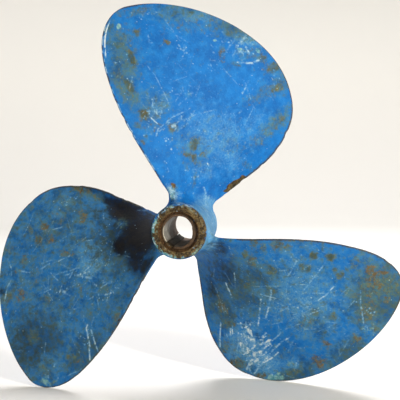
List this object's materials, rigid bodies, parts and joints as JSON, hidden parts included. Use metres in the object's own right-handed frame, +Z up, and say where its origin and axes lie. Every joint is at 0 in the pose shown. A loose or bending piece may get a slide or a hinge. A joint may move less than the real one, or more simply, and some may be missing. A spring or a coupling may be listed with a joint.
{
  "type": "boat propeller",
  "caption": "Right-hand boat propeller: broad twisted blades cast with a barrel hub, bored and keyed for a shaft, in worn blue paint over bronze.",
  "frame": {"origin": "on the shaft axis, in the plane of the hub's forward face", "axes": "+Y along the shaft axis, forward, so the aft end and the pressure faces look along -Y; +Z up as the wheel stands, on the edges of its two lower blades, which is 13.5 degrees from the upper blade's generator line"},
  "size_m": [0.3057, 0.0619, 0.2827],
  "materials": {
    "painted_bronze": "blue paint brushed on cast bronze, scratched and chipped, with brown and green patina",
    "bush_steel": "dull grey turned metal with dirt in the corners"
  },
  "bodies": {
    "root": {"propeller_casting": "painted_bronze", "bore_bush": "bush_steel"}
  },
  "joints": []
}
